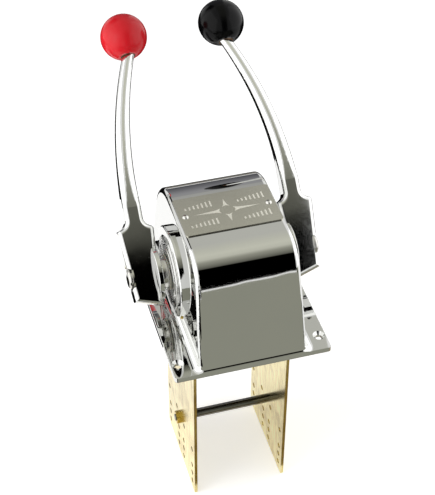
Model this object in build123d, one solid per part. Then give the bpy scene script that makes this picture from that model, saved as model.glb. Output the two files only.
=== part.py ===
from build123d import *
import os
from math import cos, radians, sin, sqrt

# Twin lever engine control for a boat: a chrome plated housing for the deck, with a throttle lever on its
# left and a shift lever on its right.  Millimetres.  The origin is the middle of the deck face of the
# flange, +Z is up, +Y is forward, away from the helmsman, and +X is to the right.
# The right-hand side is modelled, and the left-hand side is its mirror image.

# ---- clearances -----------------------------------------------------------------------------------------
FIT = 0.02                       # radial, between pieces that are fixed to each other
RUNNING = 0.04                   # radial, a shaft in its bush
SIDE_PLAY = 0.10                 # between faces that turn past each other
SLIDING = 0.10                   # radial, a ball, shoe or plug in its bore
POCKET_PLAY = 0.30               # round a plate in its pocket

# ---- deck flange ----------------------------------------------------------------------------------------
FLANGE_WIDTH = 127.0             # across the deck, X
FLANGE_LENGTH = 160.0            # fore and aft, Y
FLANGE_THICKNESS = 4.5
FLANGE_CORNER_RADIUS = 3.0
FLANGE_EDGE_RADIUS = 0.8
FLANGE_BLEND = 6.0               # cast fillet between the walls and the flange
DECK_HOLE_DIAMETER = 5.2
DECK_HOLE_INSET_X = 6.0          # from the flange's edges to the middle of each hole
DECK_HOLE_INSET_Y = 15.0
DECK_COUNTERSINK_DIAMETER = 9.6

# ---- housing --------------------------------------------------------------------------------------------
HOUSING_HEIGHT = 95.0
HOUSING_HALF_WIDTH_BASE = 43.7   # at the deck face
HOUSING_HALF_WIDTH_TOP = 40.5    # at the roof: the side walls have draft
NEAR_INSET = 0.5                 # from the flange's end to the helmsman's end of the arch, at the deck face
FAR_INSET = 2.0
NEAR_ROOF_EDGE = 36.0            # from the middle to where the flat roof turns into the corner
FAR_ROOF_EDGE = 24.5
NEAR_CORNER_RADIUS = 25.0
FAR_CORNER_RADIUS = 40.0
WALL_LEAN = 17.0                 # degrees from upright, at the top of the end walls
HOUSING_EDGE_RADIUS = 3.8
END_WALL = 3.5                   # roof and end walls
SIDE_WALL = 3.0

# ---- pivot and its bearings -----------------------------------------------------------------------------
PIVOT_Y = 1.5
PIVOT_Z = 40.0
SIDE_BOSS_RADIUS = 37.0          # round boss on the outside of each side wall
SIDE_BOSS_FACE = 46.5
SIDE_BOSS_EDGE_RADIUS = 1.2
BEARING_BOSS_RADIUS = 17.0       # round boss inside, which carries the bush
BEARING_BOSS_FACE = 34.0
BUSH_RADIUS = 13.0
COVER_RADIUS = 30.0              # turned ring let into the side boss
COVER_DEPTH = 1.5
COVER_PROUD = 1.7
COVER_LIP_DROP = 0.7             # its lip is lower than its face
COVER_LIP_CHAMFER = 1.2
COVER_LIP_WIDTH = 5.0            # from the rim to the groove behind the lip
COVER_GROOVE_DEPTH = 1.2         # below the face
COVER_GROOVE_WIDTH = 1.8
COVER_GROOVE_SLOPE = 0.6
COVER_FACE_SLOPE = 1.0

# ---- shaft ----------------------------------------------------------------------------------------------
JOURNAL_RADIUS = 10.0
JOURNAL_CHAMFER = 1.0
SHAFT_INNER_END = 11.5
COLLAR_RADIUS = 13.0
SPIGOT_RADIUS = 6.0
SPIGOT_END = 70.5
THROTTLE_REACH = 3.8             # the throttle shaft is longer, so that its lever stands further out
THRUST_WASHER_THICKNESS = 0.8
THRUST_WASHER_RADIUS = 14.5

# ---- lever ----------------------------------------------------------------------------------------------
LEVER_LEAN = 43.4                # degrees forward of upright at rest, of the hub
HUB_INNER_FACE = 51.0            # of the round pad next to the housing
HUB_PAD_RADIUS = 22.0
HUB_PAD_THICKNESS = 4.0
HUB_PAD_EDGE_RADIUS = 0.6
HUB_SHOULDER = 37.5              # height of the shoulders above the pivot
HUB_SHOULDER_INNER = 49.0
HUB_SHOULDER_OUTER = 78.5
HUB_BOTTOM_INNER = 53.4
HUB_BOTTOM_OUTER = 73.4
HUB_WAIST = 8.0                  # height at which the inner side bends
HUB_WAIST_INNER = 51.2
HUB_BOTTOM = 30.0                # depth below the pivot of the outline that the turned end is cut from
HUB_END_RADIUS_INNER = 25.6      # the bottom of the hub is turned to a cone
HUB_END_RADIUS_OUTER = 19.8
HUB_SHOULDER_RADIUS = 3.2
HUB_NECK_RADIUS = 6.5
HUB_EDGE_RADIUS = 3.6
NECK_TOP = 55.0
ARM_ROOT_X = 63.3
ARM_BEND_RADIUS = 322.0          # the arm curves inward from the neck up
ARM_ROOT_WIDTH = 14.4
ARM_TIP_WIDTH = 10.2
ARM_ROOT_THICKNESS = 17.0        # the same as the hub's
ARM_TIP_THICKNESS = 9.6
ARM_SWEEP = 20.6                 # the arm also curves forward: by this much at its end
ARM_SWEEP_POWER = 1.6            # above 1: most of the curve is near the neck
ARM_END = 177.0
ARM_ROUNDNESS = 0.96             # 1 would be a full half round on the thinner side
ARM_ROUND_WITHIN = 24.4          # the arm becomes that round within this height of the neck
ARM_STATIONS = 8
KNOB_RADIUS = 19.0
KNOB_CENTRE_X = 39.2
KNOB_CENTRE_FORWARD = 25.0
KNOB_CENTRE_UP = 193.7
KNOB_STUB_RADIUS = 4.0
KNOB_STUB_LENGTH = 12.0
KNOB_INSERT_RADIUS = 6.0
KNOB_INSERT_LENGTH = 13.5

# ---- cap screw and grub screw of the lever --------------------------------------------------------------
CAP_RECESS_FLOOR = 72.0
CAP_RECESS_RADIUS = 11.0
CAP_WASHER_RADIUS = 10.4
CAP_WASHER_THICKNESS = 1.2
CAP_HEAD_RADIUS = 8.0
CAP_HEAD_HEIGHT = 3.3
CAP_SHANK_RADIUS = 3.0
CAP_SHANK_DEPTH = 14.0
CAP_HOLE_CLEARANCE = 1.0         # past the end of the screw
HEX_SOCKET = 5.0                 # across flats
GRUB_RADIUS = 3.0
GRUB_X = 61.0
GRUB_LENGTH = 14.0
SHAFT_FLAT = 5.2                 # from the shaft axis to the flat under the grub screw
SHAFT_FLAT_LENGTH = 9.0

# ---- crank on the inner end of the shaft ----------------------------------------------------------------
DRUM_RADIUS = 17.0
DRUM_INNER = 12.0
CRANK_PLATE_INNER = 28.0
CRANK_PLATE_THICKNESS = 5.0
CRANK_LEAN = 51.0                # degrees forward of upright at rest, of the line that the crank is square to
CRANK_RADIUS = 40.0              # from the pivot to the cable pin
CRANK_SECOND_HOLE = 30.0         # shorter throw
CRANK_EYE_RADIUS = 8.0
CRANK_WEB_INSET = 2.0            # the crank's flat sides start this far inside the drum
CABLE_PIN_RADIUS = 3.0
CABLE_PIN_HEAD_RADIUS = 4.6
CABLE_PIN_HEAD_HEIGHT = 2.0
CABLE_PIN_INNER_END = 17.0
CABLE_JOURNAL_RADIUS = 2.5       # the stretch of the pin that the cable's eye turns on
CABLE_PIN_SHOULDER = 0.5
CABLE_CLIP_GROOVE = 0.8
CROSS_PIN_RADIUS = 2.5
CROSS_PIN_INSET = 0.5            # of each end, below the drum

# ---- detent and brake, in two bosses under the roof -----------------------------------------------------
PLUNGER_BOSS_RADIUS = 7.5
PLUNGER_BOSS_GAP = 3.0           # from the boss down to the drum
PLUNGER_BORE_RADIUS = 4.1
PLUG_RADIUS = 5.0
PLUG_LENGTH = 10.0
PLUG_RECESS = 2.5                # below the roof
DETENT_DEPTH = 1.5
DRUM_GAP = 0.05                  # ball or shoe to drum
SHOE_HEIGHT = 9.0
SHOE_HOLLOW = 1.0                # the foot of the shoe reaches this far down over the drum
SPRING_WIRE_RADIUS = 0.5
SPRING_RADIUS = 2.9
SPRING_TURNS = 5

# ---- name plate -----------------------------------------------------------------------------------------
NAME_PLATE_WIDTH = 77.0
NAME_PLATE_LENGTH = 44.0
NAME_PLATE_THICKNESS = 1.0
NAME_PLATE_Y = -2.0
NAME_PLATE_CORNER_RADIUS = 2.0
NAME_SCREW_SPACING = 66.6
NAME_SCREW_RADIUS = 1.2
NAME_SCREW_LENGTH = 5.0
NAME_SCREW_HEAD_RADIUS = 2.6
NAME_SCREW_HEAD_HEIGHT = 1.7
SLOT_WIDTH = 0.9

# ---- brass side plates under the deck -------------------------------------------------------------------
PLATE_FACE = 40.6                # outer face
PLATE_THICKNESS = 2.5
PLATE_WIDTH = 90.0
PLATE_Y = -3.0
PLATE_TOP = 22.0
PLATE_BOTTOM = -182.0
PLATE_CORNER_RADIUS = 1.5
CLAMP_HOLE_RADIUS = 2.5
CLAMP_COLUMNS = (-40.0, -11.5, 5.0, 34.0)      # Y of the cable clamp holes
CLAMP_COLUMNS_TOP = (-40.0, -13.5, 11.0, 36.0)
CLAMP_ROW_TOP = -131.0
CLAMP_ROWS = (-152.0, -162.5, -173.0)
PLATE_SCREW_RADIUS = 2.5
PLATE_SCREW_HEAD_RADIUS = 4.4
PLATE_SCREW_HEAD_HEIGHT = 2.6
PLATE_SCREW_SPACING = 40.0
PLATE_SCREW_Z = 13.0
PLATE_SCREW_DEPTH = 3.6          # into the casting

# ---- tie rod --------------------------------------------------------------------------------------------
TIE_ROD_Y = -1.0
TIE_ROD_Z = -132.0
TIE_ROD_RADIUS = 4.0
TIE_ROD_END_RADIUS = 3.0
TIE_NUT_ACROSS_FLATS = 10.0
TIE_NUT_HEIGHT = 4.0
TIE_ROD_THREAD_PROUD = 1.2
TIE_ROD_CHAMFER = 0.5

# ---- worked out from the values above -------------------------------------------------------------------
NEAR_FOOT = FLANGE_LENGTH / 2 - NEAR_INSET
FAR_FOOT = FLANGE_LENGTH / 2 - FAR_INSET
DECK_HOLE_SPACING_X = FLANGE_WIDTH - 2 * DECK_HOLE_INSET_X
DECK_HOLE_SPACING_Y = FLANGE_LENGTH - 2 * DECK_HOLE_INSET_Y
BUSH_BORE = JOURNAL_RADIUS + RUNNING
COVER_SEAT = SIDE_BOSS_FACE - COVER_DEPTH
COVER_FACE = SIDE_BOSS_FACE + COVER_PROUD
COLLAR_START = COVER_FACE + THRUST_WASHER_THICKNESS + 2 * SIDE_PLAY
CRANK_OUTER = CRANK_PLATE_INNER + CRANK_PLATE_THICKNESS
PLUNGER_X = (DRUM_INNER + CRANK_PLATE_INNER) / 2       # over the middle of the drum
DRUM_TOP = PIVOT_Z + DRUM_RADIUS + DRUM_GAP
BALL_RADIUS = PLUNGER_BORE_RADIUS - SLIDING
SHOE_TOP = DRUM_TOP - SHOE_HOLLOW + SHOE_HEIGHT
PLUG_TOP = HOUSING_HEIGHT - PLUG_RECESS
PLUG_BOTTOM = PLUG_TOP - PLUG_LENGTH


def solid_of(shape):
    """The one solid of a shape."""
    return shape.solids()[0] if len(shape.solids()) == 1 else shape


def turned(points):
    """A turned piece about the X axis, from (x, radius) points."""
    return revolve(make_face(Polyline(*points, close=True)), Axis.X)


def bar(start, end, radius):
    """A round bar along X, about the X axis."""
    return Pos((start + end) / 2, 0, 0) * Rot(0, 90, 0) * Cylinder(radius, abs(end - start))


def at_pivot(shape):
    """From the pivot's own frame to the housing's."""
    return Pos(0, PIVOT_Y, PIVOT_Z) * shape


def lever_pose(shape):
    """From the lever's frame, whose +Z runs up the hub, to its rest position."""
    return at_pivot(Rot(-LEVER_LEAN, 0, 0) * shape)


def crank_pose(shape):
    """From the crank's frame, whose -Y runs along the crank, to its rest position."""
    return at_pivot(Rot(-CRANK_LEAN, 0, 0) * shape)


def mirrored(shape):
    return mirror(shape, about=Plane.YZ)


# ---- housing --------------------------------------------------------------------------------------------
def end_wall(side, foot, roof_edge, corner_radius, inset):
    """One end of the arch: the leaning wall and the round corner, as (y, z) curves up to the roof."""
    lean = radians(WALL_LEAN)
    radius = corner_radius - inset
    centre = Vector(side * roof_edge, HOUSING_HEIGHT - corner_radius)
    turn = (radians(90) - lean) / 2
    low = centre + Vector(side * cos(lean), sin(lean)) * radius
    middle = centre + Vector(side * cos(lean + turn), sin(lean + turn)) * radius
    high = centre + Vector(0, radius)
    foot_point = Vector(side * (foot - inset), 0)
    wall = TangentArc(low, foot_point, tangent=Vector(side * sin(lean), -cos(lean)))
    return [wall, ThreePointArc(low, middle, high)], foot_point, high


def arch(inset):
    """Solid of the arch's side outline, wide enough for the whole flange."""
    near, near_foot, near_high = end_wall(-1, NEAR_FOOT, NEAR_ROOF_EDGE, NEAR_CORNER_RADIUS, inset)
    far, far_foot, far_high = end_wall(1, FAR_FOOT, FAR_ROOF_EDGE, FAR_CORNER_RADIUS, inset)
    outline = near + far + [Line(near_high, far_high), Line(near_foot, far_foot)]
    return extrude(Plane.YZ * make_face(outline), FLANGE_WIDTH / 2, both=True)


def drafted_block(inset):
    """Block with the draft of the side walls, as long as the flange."""
    base = HOUSING_HALF_WIDTH_BASE - inset
    top = HOUSING_HALF_WIDTH_TOP - inset
    outline = Polyline((-base, 0), (base, 0), (top, HOUSING_HEIGHT), (-top, HOUSING_HEIGHT), close=True)
    return extrude(Plane.XZ * make_face(outline), FLANGE_LENGTH, both=True)


def shell_with_flange():
    """The outside of the casting: rounded arch, flange and the fillet between them."""
    shell = solid_of(arch(0) & drafted_block(0))
    rims = [e for e in shell.edges()
            if abs(e.center().X) > HOUSING_HALF_WIDTH_TOP / 2 and e.center().Z > FLANGE_THICKNESS]
    shell = fillet(rims, HOUSING_EDGE_RADIUS)
    over_length = FLANGE_LENGTH + 8 * FLANGE_BLEND
    plate = Pos(0, 0, FLANGE_THICKNESS / 2) * Box(FLANGE_WIDTH, over_length, FLANGE_THICKNESS)
    long_edges = plate.edges().filter_by(Axis.Y).group_by(Axis.Z)[-1]
    plate = fillet(long_edges, FLANGE_EDGE_RADIUS)
    body = solid_of(shell + plate)
    seam = [e for e in body.edges()
            if abs(e.center().Z - FLANGE_THICKNESS) < 0.01
            and abs(e.center().X) < HOUSING_HALF_WIDTH_BASE
            and abs(e.center().Y) < FLANGE_LENGTH / 2]
    body = fillet(seam, FLANGE_BLEND)
    plan = extrude(RectangleRounded(FLANGE_WIDTH, FLANGE_LENGTH, FLANGE_CORNER_RADIUS), HOUSING_HEIGHT)
    return solid_of(body & plan)


def deck_holes():
    """Countersunk holes for the deck screws."""
    hole = Cylinder(DECK_HOLE_DIAMETER / 2, 4 * FLANGE_THICKNESS)
    depth = (DECK_COUNTERSINK_DIAMETER - DECK_HOLE_DIAMETER) / 2
    sink = Pos(0, 0, FLANGE_THICKNESS - depth / 2) * Cone(
        DECK_HOLE_DIAMETER / 2, DECK_COUNTERSINK_DIAMETER / 2, depth)
    return [Pos(place.position) * (hole + sink)
            for place in GridLocations(DECK_HOLE_SPACING_X, DECK_HOLE_SPACING_Y, 2, 2)]


def plunger_bore():
    """Bore through the roof boss: a guide for the ball or shoe, and the plug's thread above it."""
    guide_top = PLUG_BOTTOM
    guide = Pos(0, 0, (PIVOT_Z + guide_top) / 2) * Cylinder(PLUNGER_BORE_RADIUS, guide_top - PIVOT_Z)
    thread_length = HOUSING_HEIGHT - PLUG_BOTTOM
    thread = Pos(0, 0, HOUSING_HEIGHT - thread_length / 2 + 0.5) * Cylinder(PLUG_RADIUS, thread_length + 1)
    return guide + thread


def plate_screw_places():
    return [(PLATE_Y + side * PLATE_SCREW_SPACING / 2, PLATE_SCREW_Z) for side in (-1, 1)]


def make_housing():
    body = shell_with_flange()
    boss = bar(HOUSING_HALF_WIDTH_TOP - SIDE_WALL, SIDE_BOSS_FACE, SIDE_BOSS_RADIUS)
    rim = boss.edges().filter_by(GeomType.CIRCLE).sort_by(Axis.X)[-1]
    boss = at_pivot(fillet(rim, SIDE_BOSS_EDGE_RADIUS))
    body = body + boss + mirrored(boss)
    cavity = arch(END_WALL) & drafted_block(SIDE_WALL)
    cavity += Pos(0, PLATE_Y, PLATE_TOP / 2) * Box(
        2 * PLATE_FACE, PLATE_WIDTH + 2 * POCKET_PLAY, PLATE_TOP + 2 * POCKET_PLAY)
    body = body - cavity
    bearing = at_pivot(bar(BEARING_BOSS_FACE, HOUSING_HALF_WIDTH_TOP, BEARING_BOSS_RADIUS))
    boss_bottom = PIVOT_Z + DRUM_RADIUS + PLUNGER_BOSS_GAP
    boss_top = HOUSING_HEIGHT - END_WALL / 2
    plunger = Pos(PLUNGER_X, PIVOT_Y, (boss_bottom + boss_top) / 2) * Cylinder(
        PLUNGER_BOSS_RADIUS, boss_top - boss_bottom)
    pad_root = HOUSING_HALF_WIDTH_BASE - SIDE_WALL / 2
    plate_pad = Pos((PLATE_FACE + pad_root) / 2, PLATE_Y, (FLANGE_THICKNESS + PLATE_TOP) / 2) * Box(
        pad_root - PLATE_FACE, PLATE_WIDTH, PLATE_TOP - FLANGE_THICKNESS)
    body = body + [bearing, mirrored(bearing), plunger, mirrored(plunger), plate_pad, mirrored(plate_pad)]
    cuts = []
    for side in (1, -1):
        cuts.append(at_pivot(bar(0, side * SIDE_BOSS_FACE * 2, BUSH_RADIUS + FIT)))
        cuts.append(at_pivot(bar(side * COVER_SEAT, side * SIDE_BOSS_FACE * 2, COVER_RADIUS + FIT)))
        cuts.append(Pos(side * PLUNGER_X, PIVOT_Y, 0) * plunger_bore())
        cuts.append(Pos(side * NAME_SCREW_SPACING / 2, NAME_PLATE_Y, HOUSING_HEIGHT) * Cylinder(
            NAME_SCREW_RADIUS + FIT, 4 * END_WALL))
        for y, z in plate_screw_places():
            depth = side * (PLATE_FACE + PLATE_SCREW_DEPTH + SIDE_PLAY)
            cuts.append(Pos(0, y, z) * bar(side * PLATE_FACE / 2, depth, PLATE_SCREW_RADIUS + FIT))
    return body - cuts - deck_holes()


def make_side_cover():
    """Turned and polished ring that closes the side boss round the shaft."""
    bore = JOURNAL_RADIUS + 5 * RUNNING
    lip = COVER_FACE - COVER_LIP_DROP
    floor = COVER_FACE - COVER_GROOVE_DEPTH
    lip_radius = COVER_RADIUS - COVER_LIP_WIDTH
    groove_radius = lip_radius - COVER_GROOVE_SLOPE
    face_radius = groove_radius - COVER_GROOVE_WIDTH - COVER_FACE_SLOPE
    return at_pivot(turned([
        (COVER_SEAT, bore), (COVER_SEAT, COVER_RADIUS), (SIDE_BOSS_FACE, COVER_RADIUS),
        (lip, COVER_RADIUS - COVER_LIP_CHAMFER), (lip, lip_radius), (floor, groove_radius),
        (floor, groove_radius - COVER_GROOVE_WIDTH), (COVER_FACE, face_radius), (COVER_FACE, bore)]))


def make_bush():
    outer, inner = BUSH_RADIUS, BUSH_BORE
    length = COVER_SEAT - BEARING_BOSS_FACE
    return at_pivot(bar(BEARING_BOSS_FACE, BEARING_BOSS_FACE + length, outer)
                    - bar(0, 2 * COVER_SEAT, inner))


def make_thrust_washer():
    start = COVER_FACE + SIDE_PLAY
    washer = bar(start, start + THRUST_WASHER_THICKNESS, THRUST_WASHER_RADIUS)
    return at_pivot(washer - bar(0, 2 * start, JOURNAL_RADIUS + 2 * RUNNING))


# ---- shaft and crank ------------------------------------------------------------------------------------
def make_shaft(reach):
    """Stepped shaft: journal, collar, and a spigot for the lever that stands out by reach."""
    collar_end = HUB_INNER_FACE + reach
    end = SPIGOT_END + reach
    shaft = turned([
        (SHAFT_INNER_END, 0), (SHAFT_INNER_END, JOURNAL_RADIUS - JOURNAL_CHAMFER),
        (SHAFT_INNER_END + JOURNAL_CHAMFER, JOURNAL_RADIUS),
        (COLLAR_START, JOURNAL_RADIUS), (COLLAR_START, COLLAR_RADIUS), (collar_end, COLLAR_RADIUS),
        (collar_end, SPIGOT_RADIUS), (end, SPIGOT_RADIUS), (end, 0)])
    shaft -= bar(end - CAP_SHANK_DEPTH - CAP_HOLE_CLEARANCE, 2 * end, CAP_SHANK_RADIUS + FIT)
    flat = Pos(GRUB_X + reach, 0, -SHAFT_FLAT - SPIGOT_RADIUS) * Box(
        SHAFT_FLAT_LENGTH, 4 * SPIGOT_RADIUS, 2 * SPIGOT_RADIUS)
    cross = Pos(PLUNGER_X, 0, 0) * Rot(90, 0, 0) * Cylinder(CROSS_PIN_RADIUS + FIT, 4 * JOURNAL_RADIUS)
    return lever_pose(shaft - flat) - crank_pose(cross)


def make_crank(with_detent):
    """Crank at right angles to the lever, with a drum that the detent ball or brake shoe bears on."""
    drum = bar(DRUM_INNER, CRANK_OUTER, DRUM_RADIUS)
    root = Circle(DRUM_RADIUS - CRANK_WEB_INSET)
    eye = Pos(0, CRANK_RADIUS) * Circle(CRANK_EYE_RADIUS)
    arm_face = make_hull(root.edges() + eye.edges())
    # local x runs along the crank, on a plane square to the shaft
    side = Plane(origin=(CRANK_PLATE_INNER, 0, 0), x_dir=(0, 0, -1), z_dir=(1, 0, 0))
    plate = side * extrude(Rot(0, 0, 180) * arm_face, CRANK_PLATE_THICKNESS)
    crank = drum + plate
    crank -= bar(0, 2 * CRANK_OUTER, JOURNAL_RADIUS + FIT)
    for radius in (CRANK_RADIUS, CRANK_SECOND_HOLE):
        crank -= Pos(0, -radius, 0) * bar(0, 2 * CRANK_OUTER, CABLE_PIN_RADIUS + FIT)
    crank -= Pos(PLUNGER_X, 0, 0) * Rot(90, 0, 0) * Cylinder(CROSS_PIN_RADIUS + FIT, 4 * DRUM_RADIUS)
    if with_detent:
        crank -= Pos(PLUNGER_X, 0, DRUM_RADIUS + BALL_RADIUS - DETENT_DEPTH) * Sphere(BALL_RADIUS + SLIDING)
    return crank_pose(crank)


def make_cross_pin():
    """Pin through drum and shaft, in line with the crank, so that it never passes under the ball."""
    length = 2 * (sqrt(DRUM_RADIUS ** 2 - CROSS_PIN_RADIUS ** 2) - CROSS_PIN_INSET)
    return crank_pose(Pos(PLUNGER_X, 0, 0) * Rot(90, 0, 0) * Cylinder(CROSS_PIN_RADIUS, length))


def make_cable_pin():
    """Shouldered pin: a head behind the crank, a journal for the cable's eye and a groove for its clip."""
    groove = CABLE_PIN_INNER_END + 2 * CABLE_CLIP_GROOVE
    groove_end = groove + CABLE_CLIP_GROOVE
    groove_radius = CABLE_JOURNAL_RADIUS - CABLE_CLIP_GROOVE / 2
    shoulder = CRANK_PLATE_INNER - CABLE_PIN_SHOULDER
    head = CRANK_OUTER + CABLE_PIN_HEAD_HEIGHT
    pin = turned([
        (CABLE_PIN_INNER_END, 0), (CABLE_PIN_INNER_END, CABLE_JOURNAL_RADIUS), (groove, CABLE_JOURNAL_RADIUS),
        (groove, groove_radius), (groove_end, groove_radius), (groove_end, CABLE_JOURNAL_RADIUS),
        (shoulder, CABLE_JOURNAL_RADIUS), (shoulder, CABLE_PIN_RADIUS), (CRANK_OUTER, CABLE_PIN_RADIUS),
        (CRANK_OUTER, CABLE_PIN_HEAD_RADIUS), (head, CABLE_PIN_HEAD_RADIUS), (head, 0)])
    return crank_pose(Pos(0, -CRANK_RADIUS, 0) * pin)


# ---- detent and brake -----------------------------------------------------------------------------------
def make_plug():
    """Slotted plug that loads the spring from above."""
    plug = Pos(0, 0, (PLUG_TOP + PLUG_BOTTOM) / 2) * Cylinder(PLUG_RADIUS - FIT, PLUG_LENGTH)
    slot = Pos(0, 0, PLUG_TOP) * Box(SLOT_WIDTH, 4 * PLUG_RADIUS, 2 * SLOT_WIDTH)
    return Pos(PLUNGER_X, PIVOT_Y, 0) * (plug - slot)


def make_spring(bottom):
    """Compression spring from the ball or shoe up to the plug."""
    top = PLUG_BOTTOM - SPRING_WIRE_RADIUS - DRUM_GAP
    low = bottom + SPRING_WIRE_RADIUS + DRUM_GAP
    coil = Helix(pitch=(top - low) / SPRING_TURNS, height=top - low, radius=SPRING_RADIUS)
    section = Plane(origin=coil @ 0, z_dir=coil % 0) * Circle(SPRING_WIRE_RADIUS)
    return Pos(PLUNGER_X, PIVOT_Y, low) * sweep(section, path=coil)


def make_detent_ball():
    return Pos(PLUNGER_X, PIVOT_Y, DRUM_TOP + BALL_RADIUS) * Sphere(BALL_RADIUS)


def make_brake_shoe():
    """Round shoe whose foot is hollowed to the drum."""
    shoe = Pos(PLUNGER_X, PIVOT_Y, SHOE_TOP - SHOE_HEIGHT / 2) * Cylinder(BALL_RADIUS, SHOE_HEIGHT)
    return shoe - at_pivot(bar(0, 2 * PLUNGER_X, DRUM_RADIUS + DRUM_GAP))


# ---- lever ----------------------------------------------------------------------------------------------
def arm_x(up):
    """Centre of the arm across the boat, at a height above the pivot."""
    rise = up - NECK_TOP
    return ARM_ROOT_X - (ARM_BEND_RADIUS - sqrt(ARM_BEND_RADIUS ** 2 - rise ** 2))


def arm_y(up):
    """Centre of the arm fore and aft: it curves forward, most of all near the neck."""
    share = max(0.0, (up - NECK_TOP) / (ARM_END - NECK_TOP))
    return ARM_SWEEP * share ** ARM_SWEEP_POWER


def arm_section(up):
    """Section of the arm: rounded square at the neck, oval at the tip."""
    share = (up - NECK_TOP) / (ARM_END - NECK_TOP)
    width = ARM_ROOT_WIDTH + (ARM_TIP_WIDTH - ARM_ROOT_WIDTH) * share
    thickness = ARM_ROOT_THICKNESS + (ARM_TIP_THICKNESS - ARM_ROOT_THICKNESS) * share
    fully_round = ARM_ROUNDNESS / 2 * min(width, thickness)
    radius = HUB_EDGE_RADIUS + (fully_round - HUB_EDGE_RADIUS) * min(1.0, (up - NECK_TOP) / ARM_ROUND_WITHIN)
    return Pos(arm_x(up), arm_y(up), up) * RectangleRounded(width, thickness, radius)


def knob_axis():
    """Plane on the end of the arm, whose normal runs through the middle of the knob."""
    centre = Vector(KNOB_CENTRE_X, KNOB_CENTRE_FORWARD, KNOB_CENTRE_UP)
    end = Vector(arm_x(ARM_END), arm_y(ARM_END), ARM_END)
    return Plane(origin=end, z_dir=(centre - end).normalized()), (centre - end).length


def hub_block():
    """Forged block of the hub: its outline between two flat faces, with a turned bottom end."""
    half_neck = ARM_ROOT_WIDTH / 2
    low = -HUB_BOTTOM
    over = NECK_TOP + 2 * HUB_EDGE_RADIUS
    ledge = HUB_SHOULDER + HUB_EDGE_RADIUS
    inner_side = ThreePointArc(
        (HUB_BOTTOM_INNER, low), (HUB_WAIST_INNER, HUB_WAIST), (HUB_SHOULDER_INNER, HUB_SHOULDER))
    rest = Polyline(
        (HUB_SHOULDER_INNER, HUB_SHOULDER), (ARM_ROOT_X - half_neck, ledge), (ARM_ROOT_X - half_neck, over),
        (ARM_ROOT_X + half_neck, over), (ARM_ROOT_X + half_neck, ledge), (HUB_SHOULDER_OUTER, HUB_SHOULDER),
        (HUB_BOTTOM_OUTER, low), (HUB_BOTTOM_INNER, low))
    front = make_face([inner_side, rest])
    shoulders = [v for v in front.vertices() if abs(v.Y - HUB_SHOULDER) < 0.01]
    front = fillet(shoulders, HUB_SHOULDER_RADIUS)
    armpits = [v for v in front.vertices() if abs(v.Y - ledge) < 0.01]
    front = fillet(armpits, HUB_NECK_RADIUS)
    slab = extrude(Plane.XZ * front, ARM_ROOT_THICKNESS / 2, both=True)
    taper = (HUB_END_RADIUS_INNER - HUB_END_RADIUS_OUTER) / (HUB_BOTTOM_OUTER - HUB_BOTTOM_INNER)
    widest = HUB_END_RADIUS_INNER + taper * (HUB_BOTTOM_INNER - HUB_WAIST_INNER / 2)
    narrowest = HUB_END_RADIUS_OUTER - taper * (HUB_SHOULDER_OUTER - HUB_BOTTOM_OUTER)
    end = turned([(HUB_WAIST_INNER / 2, 0), (HUB_WAIST_INNER / 2, widest),
                  (HUB_SHOULDER_OUTER, narrowest), (HUB_SHOULDER_OUTER, 0)])
    upper = Pos(0, 0, over) * Box(4 * HUB_SHOULDER_OUTER, 4 * ARM_ROOT_THICKNESS, 2 * over)
    block = solid_of(slab & (end + upper))
    rims = [e for e in block.edges()
            if abs(e.center().Y) > ARM_ROOT_THICKNESS / 2 - 0.5 and e.center().Z < over - 0.5]
    block = fillet(rims, HUB_EDGE_RADIUS)
    return solid_of(split(block, Plane(origin=(0, 0, NECK_TOP)), keep=Keep.BOTTOM))


def make_lever():
    """Lever: forged hub and arm in one piece, with a round pad toward the housing and a stub for the knob."""
    step = (ARM_END + KNOB_STUB_RADIUS - NECK_TOP) / (ARM_STATIONS - 1)
    arm = loft([arm_section(NECK_TOP + step * i) for i in range(ARM_STATIONS)])
    end_plane, _ = knob_axis()
    arm = split(arm, end_plane, keep=Keep.BOTTOM)
    stub = end_plane * Pos(0, 0, KNOB_STUB_LENGTH / 2 - 1) * Cylinder(KNOB_STUB_RADIUS, KNOB_STUB_LENGTH + 2)
    pad = bar(HUB_INNER_FACE, HUB_INNER_FACE + HUB_PAD_THICKNESS, HUB_PAD_RADIUS)
    pad = fillet(pad.edges().filter_by(GeomType.CIRCLE), HUB_PAD_EDGE_RADIUS)
    lever = hub_block() + arm + stub + pad
    lever -= bar(0, 2 * SPIGOT_END, SPIGOT_RADIUS + FIT)
    lever -= bar(CAP_RECESS_FLOOR, 2 * SPIGOT_END, CAP_RECESS_RADIUS)
    lever -= Pos(GRUB_X, 0, -HUB_BOTTOM / 2) * Cylinder(GRUB_RADIUS + FIT, HUB_BOTTOM)
    # the pad's corner must not stand in the way of the shaft's collar
    return lever_pose(lever - bar(0, HUB_INNER_FACE, COLLAR_RADIUS + 1))


def make_knob():
    plane, distance = knob_axis()
    ball = Pos(0, 0, distance) * Sphere(KNOB_RADIUS)
    ball = split(ball, Plane.XY, keep=Keep.TOP)
    hole = Pos(0, 0, KNOB_INSERT_LENGTH / 2) * Cylinder(KNOB_INSERT_RADIUS + FIT, KNOB_INSERT_LENGTH)
    return lever_pose(plane * (ball - hole))


def make_knob_insert():
    """Threaded brass insert moulded into the knob."""
    plane, _ = knob_axis()
    insert = Pos(0, 0, KNOB_INSERT_LENGTH / 2) * Cylinder(KNOB_INSERT_RADIUS, KNOB_INSERT_LENGTH)
    hole = Pos(0, 0, KNOB_STUB_LENGTH / 2) * Cylinder(KNOB_STUB_RADIUS + FIT, KNOB_STUB_LENGTH + 0.2)
    return lever_pose(plane * (insert - hole))


def hex_socket(across_flats, depth):
    return extrude(RegularPolygon(across_flats / 2, 6, major_radius=False), -depth)


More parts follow.
